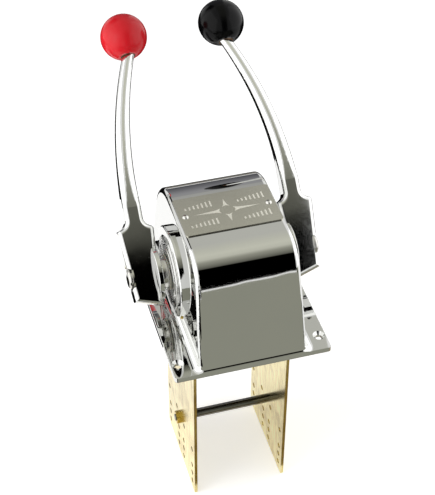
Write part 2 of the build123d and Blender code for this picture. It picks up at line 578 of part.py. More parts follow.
def make_cap_screw():
    """Domed screw with a hexagon socket that holds the lever on the shaft."""
    seat = CAP_RECESS_FLOOR + CAP_WASHER_THICKNESS
    shank = bar(SPIGOT_END - CAP_SHANK_DEPTH, seat, CAP_SHANK_RADIUS)
    head = bar(seat, seat + CAP_HEAD_HEIGHT, CAP_HEAD_RADIUS)
    rim = head.edges().filter_by(GeomType.CIRCLE).sort_by(Axis.X)[-1]
    head = fillet(rim, 0.7 * CAP_HEAD_HEIGHT)
    outside = Plane(origin=(seat + CAP_HEAD_HEIGHT, 0, 0), z_dir=(1, 0, 0))
    return lever_pose(shank + head - outside * hex_socket(HEX_SOCKET, 0.7 * CAP_HEAD_HEIGHT))


def make_cap_washer():
    washer = bar(CAP_RECESS_FLOOR, CAP_RECESS_FLOOR + CAP_WASHER_THICKNESS, CAP_WASHER_RADIUS)
    return lever_pose(washer - bar(0, 2 * SPIGOT_END, CAP_SHANK_RADIUS + SLIDING))


def make_grub_screw():
    """Grub screw from the bottom of the hub on to the shaft's flat."""
    top = -SHAFT_FLAT
    screw = Pos(GRUB_X, 0, top - GRUB_LENGTH / 2) * Cylinder(GRUB_RADIUS, GRUB_LENGTH)
    bottom = Plane(origin=(GRUB_X, 0, top - GRUB_LENGTH), z_dir=(0, 0, -1))
    socket = bottom * hex_socket(GRUB_RADIUS, GRUB_RADIUS)
    return lever_pose(screw - socket)


# ---- name plate -----------------------------------------------------------------------------------------
def make_name_plate():
    plate = extrude(RectangleRounded(NAME_PLATE_WIDTH, NAME_PLATE_LENGTH, NAME_PLATE_CORNER_RADIUS),
                    NAME_PLATE_THICKNESS)
    for place in GridLocations(NAME_SCREW_SPACING, 1, 2, 1):
        plate -= Pos(place.position) * Cylinder(NAME_SCREW_RADIUS + SLIDING, 4 * NAME_PLATE_THICKNESS)
    return Pos(0, NAME_PLATE_Y, HOUSING_HEIGHT) * plate


def make_name_screws():
    """Round headed screws with a slot."""
    seat = HOUSING_HEIGHT + NAME_PLATE_THICKNESS
    curve = (NAME_SCREW_HEAD_RADIUS ** 2 + NAME_SCREW_HEAD_HEIGHT ** 2) / (2 * NAME_SCREW_HEAD_HEIGHT)
    dome = Pos(0, 0, NAME_SCREW_HEAD_HEIGHT - curve) * Sphere(curve)
    head = split(dome, Plane.XY, keep=Keep.TOP)
    slot = Pos(0, 0, NAME_SCREW_HEAD_HEIGHT) * Box(4 * NAME_SCREW_RADIUS, SLOT_WIDTH * 0.7, SLOT_WIDTH)
    shank = Pos(0, 0, -NAME_SCREW_LENGTH / 2) * Cylinder(NAME_SCREW_RADIUS, NAME_SCREW_LENGTH)
    screw = head - slot + shank
    return [Pos(place.position) * Pos(0, NAME_PLATE_Y, seat) * screw
            for place in GridLocations(NAME_SCREW_SPACING, 1, 2, 1)]


# ---- brass side plates and tie rod ----------------------------------------------------------------------
def plate_holes():
    """Places of the cable clamp holes, as (y, z)."""
    top = [(y, CLAMP_ROW_TOP) for y in CLAMP_COLUMNS_TOP]
    return top + [(y, z) for z in CLAMP_ROWS for y in CLAMP_COLUMNS]


def make_side_plate():
    height = PLATE_TOP - PLATE_BOTTOM
    inner = PLATE_FACE - PLATE_THICKNESS
    plan = Pos(PLATE_Y, (PLATE_TOP + PLATE_BOTTOM) / 2) * RectangleRounded(
        PLATE_WIDTH, height, PLATE_CORNER_RADIUS)
    plan -= [Pos(y, z) * Circle(CLAMP_HOLE_RADIUS) for y, z in plate_holes()]
    plan -= Pos(TIE_ROD_Y, TIE_ROD_Z) * Circle(TIE_ROD_END_RADIUS + SLIDING)
    plan -= [Pos(y, z) * Circle(PLATE_SCREW_RADIUS + SLIDING) for y, z in plate_screw_places()]
    return Pos(inner, 0, 0) * extrude(Plane.YZ * plan, PLATE_THICKNESS)


def make_plate_screws():
    """Pan headed screws that hold both plates to the casting, from the inside."""
    seat = PLATE_FACE - PLATE_THICKNESS
    head = bar(seat - PLATE_SCREW_HEAD_HEIGHT, seat, PLATE_SCREW_HEAD_RADIUS)
    rim = head.edges().filter_by(GeomType.CIRCLE).sort_by(Axis.X)[0]
    head = fillet(rim, 0.5 * PLATE_SCREW_HEAD_HEIGHT)
    slot = Pos(seat - PLATE_SCREW_HEAD_HEIGHT, 0, 0) * Box(
        2 * SLOT_WIDTH, SLOT_WIDTH, 4 * PLATE_SCREW_HEAD_RADIUS)
    screw = head - slot + bar(seat, PLATE_FACE + PLATE_SCREW_DEPTH, PLATE_SCREW_RADIUS)
    right = [Pos(0, y, z) * screw for y, z in plate_screw_places()]
    return right + [mirrored(s) for s in right]


def make_tie_rod():
    inner = PLATE_FACE - PLATE_THICKNESS
    end = PLATE_FACE + TIE_NUT_HEIGHT + TIE_ROD_THREAD_PROUD
    rod = bar(-inner, inner, TIE_ROD_RADIUS) + bar(-end, end, TIE_ROD_END_RADIUS)
    rod = chamfer(rod.edges().filter_by(GeomType.CIRCLE).sort_by(Axis.X)[-1], TIE_ROD_CHAMFER)
    rod = chamfer(rod.edges().filter_by(GeomType.CIRCLE).sort_by(Axis.X)[0], TIE_ROD_CHAMFER)
    return Pos(0, TIE_ROD_Y, TIE_ROD_Z) * rod


def make_tie_nuts():
    nut = extrude(RegularPolygon(TIE_NUT_ACROSS_FLATS / 2, 6, major_radius=False), TIE_NUT_HEIGHT)
    nut -= Cylinder(TIE_ROD_END_RADIUS + FIT, 4 * TIE_NUT_HEIGHT)
    right = Plane(origin=(PLATE_FACE, TIE_ROD_Y, TIE_ROD_Z), z_dir=(1, 0, 0)) * nut
    return [right, mirrored(right)]


def save(name, pieces):
    """Writes one node, which may hold several separate solids."""
    pieces = pieces if isinstance(pieces, list) else [pieces]
    solids = [s for piece in pieces for s in piece.solids()]
    node = solids[0] if len(solids) == 1 else Compound(children=solids)
    export_step(node, os.path.join("parts", name + ".step"))


os.makedirs("parts", exist_ok=True)

save("housing", make_housing())
save("name_plate", make_name_plate())
save("name_plate_screws", make_name_screws())
save("side_plate_screws", make_plate_screws())
save("tie_rod", make_tie_rod())
save("tie_rod_nuts", make_tie_nuts())

# the same on both sides of the housing
for name, make in (
        ("side_cover", make_side_cover), ("shaft_bush", make_bush), ("thrust_washer", make_thrust_washer),
        ("side_plate", make_side_plate)):
    piece = make()
    save(name + "_right", piece)
    save(name + "_left", mirrored(piece))

# shift on the right; throttle mirrored on the left, on a shaft that reaches further out
for name, make in (
        ("lever", make_lever), ("knob", make_knob), ("knob_insert", make_knob_insert),
        ("cap_screw", make_cap_screw), ("cap_washer", make_cap_washer), ("grub_screw", make_grub_screw)):
    piece = make()
    save(name + "_shift", piece)
    save(name + "_throttle", mirrored(Pos(THROTTLE_REACH, 0, 0) * piece))

save("shaft_shift", make_shaft(0))
save("shaft_throttle", mirrored(make_shaft(THROTTLE_REACH)))

for name, make in (("cross_pin", make_cross_pin), ("cable_pin", make_cable_pin)):
    piece = make()
    save(name + "_shift", piece)
    save(name + "_throttle", mirrored(piece))

save("crank_shift", make_crank(with_detent=True))
save("crank_throttle", mirrored(make_crank(with_detent=False)))

save("detent_plug", make_plug())
save("detent_spring", make_spring(DRUM_TOP + 2 * BALL_RADIUS))
save("detent_ball", make_detent_ball())
save("brake_plug", mirrored(make_plug()))
save("brake_spring", mirrored(make_spring(SHOE_TOP)))
save("brake_shoe", mirrored(make_brake_shoe()))
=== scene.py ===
import bmesh
import bpy
import math
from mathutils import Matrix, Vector


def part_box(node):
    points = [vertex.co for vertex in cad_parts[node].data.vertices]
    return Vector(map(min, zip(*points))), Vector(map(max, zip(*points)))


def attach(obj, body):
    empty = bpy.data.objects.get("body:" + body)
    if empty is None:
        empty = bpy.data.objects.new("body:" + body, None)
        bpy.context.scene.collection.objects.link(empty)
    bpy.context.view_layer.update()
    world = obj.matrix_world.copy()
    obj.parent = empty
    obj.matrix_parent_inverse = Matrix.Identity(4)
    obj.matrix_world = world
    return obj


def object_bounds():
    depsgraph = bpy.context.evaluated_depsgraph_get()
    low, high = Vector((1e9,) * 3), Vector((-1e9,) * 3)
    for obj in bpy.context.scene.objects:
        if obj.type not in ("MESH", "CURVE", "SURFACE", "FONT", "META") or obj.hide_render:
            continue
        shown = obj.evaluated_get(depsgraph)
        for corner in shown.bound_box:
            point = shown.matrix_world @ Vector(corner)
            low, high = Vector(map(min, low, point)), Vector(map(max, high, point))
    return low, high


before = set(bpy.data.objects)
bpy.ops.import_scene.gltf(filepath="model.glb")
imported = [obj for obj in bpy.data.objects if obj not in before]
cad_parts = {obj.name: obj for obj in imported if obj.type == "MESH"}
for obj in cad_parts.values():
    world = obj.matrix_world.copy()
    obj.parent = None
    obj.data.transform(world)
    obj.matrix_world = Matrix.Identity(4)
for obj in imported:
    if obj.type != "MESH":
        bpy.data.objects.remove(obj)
cad_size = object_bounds()


# ---- Deck housing ----------------------------------------------------------------------------------------
# One brass casting, ground, polished and chrome plated outside.  Inside the arch and on the deck face it is
# left as it came from the sand: grey, grainy and dull.


def linear(colour):
    """An sRGB hex value as a linear colour."""
    parts = [int(colour[i:i + 2], 16) / 255 for i in (1, 3, 5)]
    return [p / 12.92 if p <= 0.04045 else ((p + 0.055) / 1.055) ** 2.4 for p in parts] + [1.0]


def add(tree, kind, inputs=None, **settings):
    """Adds a node.  Inputs are values, or the sockets that it is linked to."""
    node = tree.nodes.new(kind)
    for name, value in settings.items():
        setattr(node, name, value)
    for name, value in (inputs or {}).items():
        if isinstance(value, bpy.types.NodeSocket):
            tree.links.new(value, node.inputs[name])
        else:
            node.inputs[name].default_value = value
    return node


def finish_of(name, kind="ShaderNodeBsdfPrincipled", **inputs):
    """A new material with one shader, as (material, node tree, shader)."""
    material = bpy.data.materials.new(name)
    material.use_nodes = True
    tree = material.node_tree
    tree.nodes.clear()
    shader = add(tree, kind, {key.replace("_", " "): value for key, value in inputs.items()})
    output = add(tree, "ShaderNodeOutputMaterial", {"Surface": shader.outputs[0]})
    output.name = "Output"
    return material, tree, shader


def dress(material, *nodes):
    """The CAD nodes take this material."""
    for node in nodes:
        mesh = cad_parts[node].data
        mesh.materials.clear()
        mesh.materials.append(material)


def per_mm(size):
    """Texture scale at which one feature measures size millimetres."""
    return 1000 / size


# Chrome plate over a polished casting: a mirror, with slow waves from the polishing mop and hair scratches.
# The raw inside is told from the chrome by the way it faces, and by lying within the walls, roof and ends.
ARCH_CENTRE = (0.0, 0.0, 0.040)
WALLS_WITHIN = 0.0372
ROOF_WITHIN = 0.0916
ENDS_WITHIN = 0.045
TURNED_UP = 0.3                     # a normal that rises more than this is the top of something outside
DECK_SKIN = 0.0002
chrome_casting, tree, shader = finish_of("chrome_plated_casting", Metallic=1.0)
place = add(tree, "ShaderNodeTexCoord").outputs["Object"]
geometry = add(tree, "ShaderNodeNewGeometry")
centre_to_here = add(tree, "ShaderNodeVectorMath", {0: place, 1: ARCH_CENTRE}, operation="SUBTRACT")
facing_out = add(tree, "ShaderNodeVectorMath", {0: centre_to_here.outputs[0],
                                                1: geometry.outputs["Normal"]}, operation="DOT_PRODUCT")
turned_in = add(tree, "ShaderNodeMath", {0: facing_out.outputs["Value"], 1: 0.0}, operation="LESS_THAN")
normal_axes = add(tree, "ShaderNodeSeparateXYZ", {0: geometry.outputs["Normal"]})
not_upward = add(tree, "ShaderNodeMath", {0: normal_axes.outputs["Z"], 1: TURNED_UP}, operation="LESS_THAN")
facing_in = add(tree, "ShaderNodeMath", {0: turned_in.outputs[0], 1: not_upward.outputs[0]},
                operation="MULTIPLY")
axes = add(tree, "ShaderNodeSeparateXYZ", {0: place})
across = add(tree, "ShaderNodeMath", {0: axes.outputs["X"]}, operation="ABSOLUTE")
between_walls = add(tree, "ShaderNodeMath", {0: across.outputs[0], 1: WALLS_WITHIN}, operation="LESS_THAN")
below_roof = add(tree, "ShaderNodeMath", {0: axes.outputs["Z"], 1: ROOF_WITHIN}, operation="LESS_THAN")
along = add(tree, "ShaderNodeMath", {0: axes.outputs["Y"]}, operation="ABSOLUTE")
clear_of_ends = add(tree, "ShaderNodeMath", {0: along.outputs[0], 1: ENDS_WITHIN}, operation="LESS_THAN")
inner_bosses = add(tree, "ShaderNodeMath", {0: between_walls.outputs[0], 1: below_roof.outputs[0]},
                   operation="MULTIPLY")
inner_bosses = add(tree, "ShaderNodeMath", {0: inner_bosses.outputs[0], 1: clear_of_ends.outputs[0]},
                   operation="MULTIPLY")
deck_face = add(tree, "ShaderNodeMath", {0: axes.outputs["Z"], 1: DECK_SKIN}, operation="LESS_THAN")
raw = add(tree, "ShaderNodeMath", {0: facing_in.outputs[0], 1: inner_bosses.outputs[0]},
          operation="MAXIMUM")
raw = add(tree, "ShaderNodeMath", {0: raw.outputs[0], 1: deck_face.outputs[0]}, operation="MAXIMUM")
raw = raw.outputs[0]
mop_waves = add(tree, "ShaderNodeTexNoise", {"Vector": place, "Scale": per_mm(28), "Detail": 1.0})
scratches = add(tree, "ShaderNodeTexNoise", {"Vector": place, "Scale": per_mm(1.2), "Detail": 3.0})
sand_grain = add(tree, "ShaderNodeTexNoise", {"Vector": place, "Scale": per_mm(0.8), "Detail": 4.0})
plate_colour = add(tree, "ShaderNodeMix", {"Factor": mop_waves.outputs[0], 6: linear("#D6D7D5"),
                                           7: linear("#DADAD7")}, data_type="RGBA")
sand_colour = add(tree, "ShaderNodeMix", {"Factor": sand_grain.outputs[0], 6: linear("#77746C"),
                                          7: linear("#A3A096")}, data_type="RGBA")
skin = add(tree, "ShaderNodeMix", {"Factor": raw, 6: plate_colour.outputs[2], 7: sand_colour.outputs[2]},
           data_type="RGBA")
plate_gloss = add(tree, "ShaderNodeMapRange", {"Value": scratches.outputs[0], "To Min": 0.01,
                                               "To Max": 0.035})
gloss = add(tree, "ShaderNodeMix", {"Factor": raw, "A": plate_gloss.outputs[0], "B": 0.55})
wave_height = add(tree, "ShaderNodeBump", {"Height": mop_waves.outputs[0], "Strength": 0.012,
                                           "Distance": 0.004})
grain_strength = add(tree, "ShaderNodeMath", {0: raw, 1: 0.6}, operation="MULTIPLY")
grain_height = add(tree, "ShaderNodeBump", {"Height": sand_grain.outputs[0], "Distance": 0.0003,
                                            "Strength": grain_strength.outputs[0],
                                            "Normal": wave_height.outputs[0]})
tree.links.new(skin.outputs[2], shader.inputs["Base Color"])
tree.links.new(gloss.outputs[0], shader.inputs["Roughness"])
tree.links.new(grain_height.outputs[0], shader.inputs["Normal"])
dress(chrome_casting, "housing")

# ---- Shaft bushes and thrust washers ---------------------------------------------------------------------
# Turned bearing bronze bushes pressed into the side walls, and a stamped natural nylon washer outside each
# one, so that the shaft's collar doesn't rub on the chrome.

# Bearing bronze: brown gold, with fine lathe rings and dull spots of oil.
bronze, tree, shader = finish_of("turned_bearing_bronze", Metallic=1.0)
place = add(tree, "ShaderNodeTexCoord").outputs["Object"]
lathe = add(tree, "ShaderNodeTexWave", {"Vector": place, "Scale": per_mm(0.6) / 20, "Distortion": 0.2},
            bands_direction="X")
oil = add(tree, "ShaderNodeTexNoise", {"Vector": place, "Scale": per_mm(4), "Detail": 3.0})
metal = add(tree, "ShaderNodeMix", {"Factor": oil.outputs[0], 6: linear("#8C6A3C"), 7: linear("#C79A5C")},
            data_type="RGBA")
rings = add(tree, "ShaderNodeBump", {"Height": lathe.outputs[1], "Strength": 0.15, "Distance": 0.00005})
gloss = add(tree, "ShaderNodeMapRange", {"Value": oil.outputs[0], "To Min": 0.22, "To Max": 0.40})
tree.links.new(metal.outputs[2], shader.inputs["Base Color"])
tree.links.new(gloss.outputs[0], shader.inputs["Roughness"])
tree.links.new(rings.outputs[0], shader.inputs["Normal"])
dress(bronze, "shaft_bush_left", "shaft_bush_right")

# Natural nylon: milky ivory that lets a little light in, with a slight stamped grain.
nylon, tree, shader = finish_of("natural_nylon", IOR=1.53, Subsurface_Weight=0.1, Subsurface_Scale=0.001)
place = add(tree, "ShaderNodeTexCoord").outputs["Object"]
grain = add(tree, "ShaderNodeTexNoise", {"Vector": place, "Scale": per_mm(1.5), "Detail": 2.0})
ivory = add(tree, "ShaderNodeMix", {"Factor": grain.outputs[0], 6: linear("#D8D3C2"), 7: linear("#E6E2D4")},
            data_type="RGBA")
gloss = add(tree, "ShaderNodeMapRange", {"Value": grain.outputs[0], "To Min": 0.38, "To Max": 0.50})
tree.links.new(ivory.outputs[2], shader.inputs["Base Color"])
tree.links.new(gloss.outputs[0], shader.inputs["Roughness"])
dress(nylon, "thrust_washer_left", "thrust_washer_right")

# ---- Lever shafts ----------------------------------------------------------------------------------------
# Stainless bar turned to a journal, a collar and a spigot for the lever, and polished where it shows.

# Turned stainless: bright, with rings round the shaft that the polishing has nearly taken out.
stainless, tree, shader = finish_of("turned_stainless", Metallic=1.0)
place = add(tree, "ShaderNodeTexCoord").outputs["Object"]
lathe = add(tree, "ShaderNodeTexWave", {"Vector": place, "Scale": per_mm(0.5) / 20, "Distortion": 0.3},
            bands_direction="X")
wear = add(tree, "ShaderNodeTexNoise", {"Vector": place, "Scale": per_mm(5), "Detail": 3.0})
metal = add(tree, "ShaderNodeMix", {"Factor": wear.outputs[0], 6: linear("#BDBCB7"), 7: linear("#CECDC8")},
            data_type="RGBA")
rings = add(tree, "ShaderNodeBump", {"Height": lathe.outputs[1], "Strength": 0.06, "Distance": 0.00005})
gloss = add(tree, "ShaderNodeMapRange", {"Value": wear.outputs[0], "To Min": 0.08, "To Max": 0.18})
tree.links.new(metal.outputs[2], shader.inputs["Base Color"])
tree.links.new(gloss.outputs[0], shader.inputs["Roughness"])
tree.links.new(rings.outputs[0], shader.inputs["Normal"])
dress(stainless, "shaft_throttle", "shaft_shift")

# ---- Cranks and their pins -------------------------------------------------------------------------------
# Zinc plated iron cranks on the inner ends of the shafts, each held by a steel cross pin, and a shouldered
# steel pin for the eye of the engine's cable.

# Zinc plate on cast iron: cool grey, dull, with the casting's skin showing through.
zinc_casting, tree, shader = finish_of("zinc_plated_casting", Metallic=1.0)
place = add(tree, "ShaderNodeTexCoord").outputs["Object"]
blotches = add(tree, "ShaderNodeTexNoise", {"Vector": place, "Scale": per_mm(9), "Detail": 4.0})
grain = add(tree, "ShaderNodeTexNoise", {"Vector": place, "Scale": per_mm(0.9), "Detail": 3.0})
metal = add(tree, "ShaderNodeMix", {"Factor": blotches.outputs[0], 6: linear("#75777A"),
                                    7: linear("#A9ABAC")}, data_type="RGBA")
gloss = add(tree, "ShaderNodeMapRange", {"Value": blotches.outputs[0], "To Min": 0.38, "To Max": 0.60})
skin = add(tree, "ShaderNodeBump", {"Height": grain.outputs[0], "Strength": 0.5, "Distance": 0.0002})
tree.links.new(metal.outputs[2], shader.inputs["Base Color"])
tree.links.new(gloss.outputs[0], shader.inputs["Roughness"])
tree.links.new(skin.outputs[0], shader.inputs["Normal"])
dress(zinc_casting, "crank_throttle", "crank_shift")

# Oiled drawn steel: dark, with streaks along the bar where it was drawn.
drawn_steel, tree, shader = finish_of("oiled_drawn_steel", Metallic=1.0)
place = add(tree, "ShaderNodeTexCoord").outputs["Object"]
stretched = add(tree, "ShaderNodeVectorMath", {0: place, 1: (0.06, 1.0, 1.0)}, operation="MULTIPLY")
streaks = add(tree, "ShaderNodeTexNoise", {"Vector": stretched.outputs[0], "Scale": per_mm(0.9),
                                           "Detail": 3.0})
stain = add(tree, "ShaderNodeTexNoise", {"Vector": place, "Scale": per_mm(12), "Detail": 4.0})
metal = add(tree, "ShaderNodeMix", {"Factor": stain.outputs[0], 6: linear("#5A5852"), 7: linear("#9C9A93")},
            data_type="RGBA")
gloss = add(tree, "ShaderNodeMapRange", {"Value": streaks.outputs[0], "To Min": 0.10, "To Max": 0.20})
drawn = add(tree, "ShaderNodeBump", {"Height": streaks.outputs[0], "Strength": 0.1, "Distance": 0.0001})
tree.links.new(metal.outputs[2], shader.inputs["Base Color"])
tree.links.new(gloss.outputs[0], shader.inputs["Roughness"])
tree.links.new(drawn.outputs[0], shader.inputs["Normal"])
dress(drawn_steel, "cross_pin_throttle", "cross_pin_shift", "cable_pin_throttle", "cable_pin_shift")

# ---- Detent and brake ------------------------------------------------------------------------------------
# A bearing ball under a spring clicks the shift crank into neutral, and a lined shoe under another spring
# holds the throttle where it is left.  A slotted brass plug loads each spring.

# Hardened ball and spring wire: bright drawn steel with a faint straw tint.
spring_steel, tree, shader = finish_of("bright_spring_steel", Metallic=1.0)
place = add(tree, "ShaderNodeTexCoord").outputs["Object"]
temper = add(tree, "ShaderNodeTexNoise", {"Vector": place, "Scale": per_mm(3), "Detail": 2.0})
metal = add(tree, "ShaderNodeMix", {"Factor": temper.outputs[0], 6: linear("#B3B1AB"),
                                    7: linear("#C5C0B2")}, data_type="RGBA")
gloss = add(tree, "ShaderNodeMapRange", {"Value": temper.outputs[0], "To Min": 0.10, "To Max": 0.22})
tree.links.new(metal.outputs[2], shader.inputs["Base Color"])
tree.links.new(gloss.outputs[0], shader.inputs["Roughness"])
dress(spring_steel, "detent_ball", "detent_spring", "brake_spring")

# Woven friction lining: brown resin over a weave with 1 mm between threads.
lining, tree, shader = finish_of("woven_friction_lining", IOR=1.5, Roughness=0.85)
place = add(tree, "ShaderNodeTexCoord").outputs["Object"]
weave = add(tree, "ShaderNodeTexVoronoi", {"Vector": place, "Scale": per_mm(1.0), "Randomness": 0.2})
threads = add(tree, "ShaderNodeMix", {"Factor": weave.outputs["Distance"], 6: linear("#6E5539"),
                                      7: linear("#3E2E1F")}, data_type="RGBA")
height = add(tree, "ShaderNodeBump", {"Height": weave.outputs["Distance"], "Strength": 0.5,
                                      "Distance": 0.0002})
tree.links.new(threads.outputs[2], shader.inputs["Base Color"])
tree.links.new(height.outputs[0], shader.inputs["Normal"])
dress(lining, "brake_shoe")

# Turned brass: warm yellow with lathe rings and a light brown film in the low spots.
turned_brass, tree, shader = finish_of("turned_brass", Metallic=1.0)
place = add(tree, "ShaderNodeTexCoord").outputs["Object"]
film = add(tree, "ShaderNodeTexNoise", {"Vector": place, "Scale": per_mm(3.5), "Detail": 4.0})
metal = add(tree, "ShaderNodeMix", {"Factor": film.outputs[0], 6: linear("#94792E"), 7: linear("#D6BC5E")},
            data_type="RGBA")
gloss = add(tree, "ShaderNodeMapRange", {"Value": film.outputs[0], "To Min": 0.18, "To Max": 0.34})
skin = add(tree, "ShaderNodeBump", {"Height": film.outputs[0], "Strength": 0.1, "Distance": 0.0001})
tree.links.new(metal.outputs[2], shader.inputs["Base Color"])
tree.links.new(gloss.outputs[0], shader.inputs["Roughness"])
tree.links.new(skin.outputs[0], shader.inputs["Normal"])
dress(turned_brass, "detent_plug", "brake_plug")

# ---- Side covers -----------------------------------------------------------------------------------------
# A turned ring let into each side boss closes the bearing.  Its face keeps the rings of the lathe tool
# under the chrome.

# Chrome over turned rings: the 1.5 mm pitch of the tool breaks the reflections into circles.
PIVOT = (0.0, 0.0015, 0.040)
chrome_turned, tree, shader = finish_of("chrome_plated_turning", Metallic=1.0)
shader.inputs["Base Color"].default_value = linear("#D4D4D1")
place = add(tree, "ShaderNodeTexCoord").outputs["Object"]
from_pivot = add(tree, "ShaderNodeVectorMath", {0: place, 1: PIVOT}, operation="SUBTRACT")
flat = add(tree, "ShaderNodeVectorMath", {0: from_pivot.outputs[0], 1: (0.0, 1.0, 1.0)},
           operation="MULTIPLY")
radius = add(tree, "ShaderNodeVectorMath", {0: flat.outputs[0]}, operation="LENGTH")
turns = add(tree, "ShaderNodeMath", {0: radius.outputs["Value"], 1: 2 * math.pi * per_mm(1.5)},
            operation="MULTIPLY")
tool_marks = add(tree, "ShaderNodeMath", {0: turns.outputs[0]}, operation="SINE")
smears = add(tree, "ShaderNodeTexNoise", {"Vector": place, "Scale": per_mm(7), "Detail": 3.0})
gloss = add(tree, "ShaderNodeMapRange", {"Value": smears.outputs[0], "To Min": 0.04, "To Max": 0.12})
rings = add(tree, "ShaderNodeBump", {"Height": tool_marks.outputs[0], "Strength": 0.8, "Distance": 0.0003})
tree.links.new(gloss.outputs[0], shader.inputs["Roughness"])
tree.links.new(rings.outputs[0], shader.inputs["Normal"])
dress(chrome_turned, "side_cover_left", "side_cover_right")

# ---- Levers ----------------------------------------------------------------------------------------------
# Each lever is one bronze forging, from the wide hub to the oval tip, polished all over and chrome plated.

# Chrome over a forging: a softer mirror than the housing's, as its curves were polished by hand.
chrome_forging, tree, shader = finish_of("chrome_plated_forging", Metallic=1.0)
place = add(tree, "ShaderNodeTexCoord").outputs["Object"]
hand_waves = add(tree, "ShaderNodeTexNoise", {"Vector": place, "Scale": per_mm(22), "Detail": 1.0})
haze = add(tree, "ShaderNodeTexNoise", {"Vector": place, "Scale": per_mm(2.5), "Detail": 4.0})
plate_colour = add(tree, "ShaderNodeMix", {"Factor": hand_waves.outputs[0], 6: linear("#D6D7D5"),
                                           7: linear("#DADAD7")}, data_type="RGBA")
gloss = add(tree, "ShaderNodeMapRange", {"Value": haze.outputs[0], "To Min": 0.025, "To Max": 0.075})
waves = add(tree, "ShaderNodeBump", {"Height": hand_waves.outputs[0], "Strength": 0.02, "Distance": 0.003})
tree.links.new(plate_colour.outputs[2], shader.inputs["Base Color"])
tree.links.new(gloss.outputs[0], shader.inputs["Roughness"])
tree.links.new(waves.outputs[0], shader.inputs["Normal"])
dress(chrome_forging, "lever_throttle", "lever_shift")

# ---- Screws of the hubs ----------------------------------------------------------------------------------
# A socket cap screw on a washer pulls each hub onto its shaft, and a grub screw from below locks it.

# Blackened alloy steel: near black with a soft sheen, rubbed grey on the rims.
black_oxide, tree, shader = finish_of("black_oxide_steel", Metallic=1.0)
place = add(tree, "ShaderNodeTexCoord").outputs["Object"]
rubbed = add(tree, "ShaderNodeTexNoise", {"Vector": place, "Scale": per_mm(2.2), "Detail": 4.0})
metal = add(tree, "ShaderNodeMix", {"Factor": rubbed.outputs[0], 6: linear("#2B2B2C"),
                                    7: linear("#55534F")}, data_type="RGBA")
gloss = add(tree, "ShaderNodeMapRange", {"Value": rubbed.outputs[0], "To Min": 0.28, "To Max": 0.46})
tree.links.new(metal.outputs[2], shader.inputs["Base Color"])
tree.links.new(gloss.outputs[0], shader.inputs["Roughness"])
dress(black_oxide, "grub_screw_throttle", "grub_screw_shift")
dress(stainless, "cap_screw_throttle", "cap_screw_shift", "cap_washer_throttle", "cap_washer_shift")

# ---- Knobs -----------------------------------------------------------------------------------------------
# Ball knobs moulded round a brass insert and buffed: red for the throttle, black for the shift lever.

# Moulded phenolic, buffed: deep and glossy, with a faint unevenness from the mould and handling haze.
for knob, material_name, dark, light, shine in (
        ("knob_throttle", "red_buffed_phenolic", "#D01720", "#E02630", 0.18),
        ("knob_shift", "black_buffed_phenolic", "#020202", "#050506", 0.10)):
    phenolic, tree, shader = finish_of(material_name, IOR=1.55, Specular_IOR_Level=shine)
    place = add(tree, "ShaderNodeTexCoord").outputs["Object"]
    flow = add(tree, "ShaderNodeTexNoise", {"Vector": place, "Scale": per_mm(14), "Detail": 2.0})
    handling = add(tree, "ShaderNodeTexNoise", {"Vector": place, "Scale": per_mm(1.8), "Detail": 4.0})
    body = add(tree, "ShaderNodeMix", {"Factor": flow.outputs[0], 6: linear(dark), 7: linear(light)},
               data_type="RGBA")
    gloss = add(tree, "ShaderNodeMapRange", {"Value": handling.outputs[0], "To Min": 0.14, "To Max": 0.24})
    skin = add(tree, "ShaderNodeBump", {"Height": flow.outputs[0], "Strength": 0.03, "Distance": 0.002})
    tree.links.new(body.outputs[2], shader.inputs["Base Color"])
    tree.links.new(gloss.outputs[0], shader.inputs["Roughness"])
    tree.links.new(skin.outputs[0], shader.inputs["Normal"])
    dress(phenolic, knob)

# Darkened brass: the insert is painted a dull red brown, as painted shade for the dark ring where the knob
# sits on the arm.
shade_darkened_brass, tree, shader = finish_of("shade_darkened_brass", Metallic=1.0)
place = add(tree, "ShaderNodeTexCoord").outputs["Object"]
dark_mottle = add(tree, "ShaderNodeTexNoise", {"Vector": place, "Scale": per_mm(2), "Detail": 4.0})
# Painted shade: both colours are darkened to stand for the shadow at the foot of the knob.
metal = add(tree, "ShaderNodeMix", {"Factor": dark_mottle.outputs[0], 6: linear("#3A2A1E"),
                                    7: linear("#6E5136")}, data_type="RGBA")
gloss = add(tree, "ShaderNodeMapRange", {"Value": dark_mottle.outputs[0], "To Min": 0.35, "To Max": 0.55})
tree.links.new(metal.outputs[2], shader.inputs["Base Color"])
tree.links.new(gloss.outputs[0], shader.inputs["Roughness"])
dress(shade_darkened_brass, "knob_insert_throttle", "knob_insert_shift")

# ---- Name plate ------------------------------------------------------------------------------------------
# A satin nickel plate held by two bright round head screws.  A star with four arrows is etched in its
# middle, with a scale of ticks in each corner that grows to the right.

# Satin nickel: a soft even sheen, brushed across the boat with 0.4 mm between the strokes.
satin_nickel, tree, shader = finish_of("satin_nickel", Metallic=1.0)
place = add(tree, "ShaderNodeTexCoord").outputs["Object"]
strokes_place = add(tree, "ShaderNodeVectorMath", {0: place, 1: (0.03, 1.0, 1.0)}, operation="MULTIPLY")
strokes = add(tree, "ShaderNodeTexNoise", {"Vector": strokes_place.outputs[0], "Scale": per_mm(0.4),
                                           "Detail": 3.0})
stain = add(tree, "ShaderNodeTexNoise", {"Vector": place, "Scale": per_mm(15), "Detail": 3.0})
metal = add(tree, "ShaderNodeMix", {"Factor": stain.outputs[0], 6: linear("#C4C2B4"), 7: linear("#CCCABE")},
            data_type="RGBA")
gloss = add(tree, "ShaderNodeMapRange", {"Value": strokes.outputs[0], "To Min": 0.16, "To Max": 0.26})
brushed = add(tree, "ShaderNodeBump", {"Height": strokes.outputs[0], "Strength": 0.05, "Distance": 0.0001})
tree.links.new(metal.outputs[2], shader.inputs["Base Color"])
tree.links.new(gloss.outputs[0], shader.inputs["Roughness"])
tree.links.new(brushed.outputs[0], shader.inputs["Normal"])
dress(satin_nickel, "name_plate")

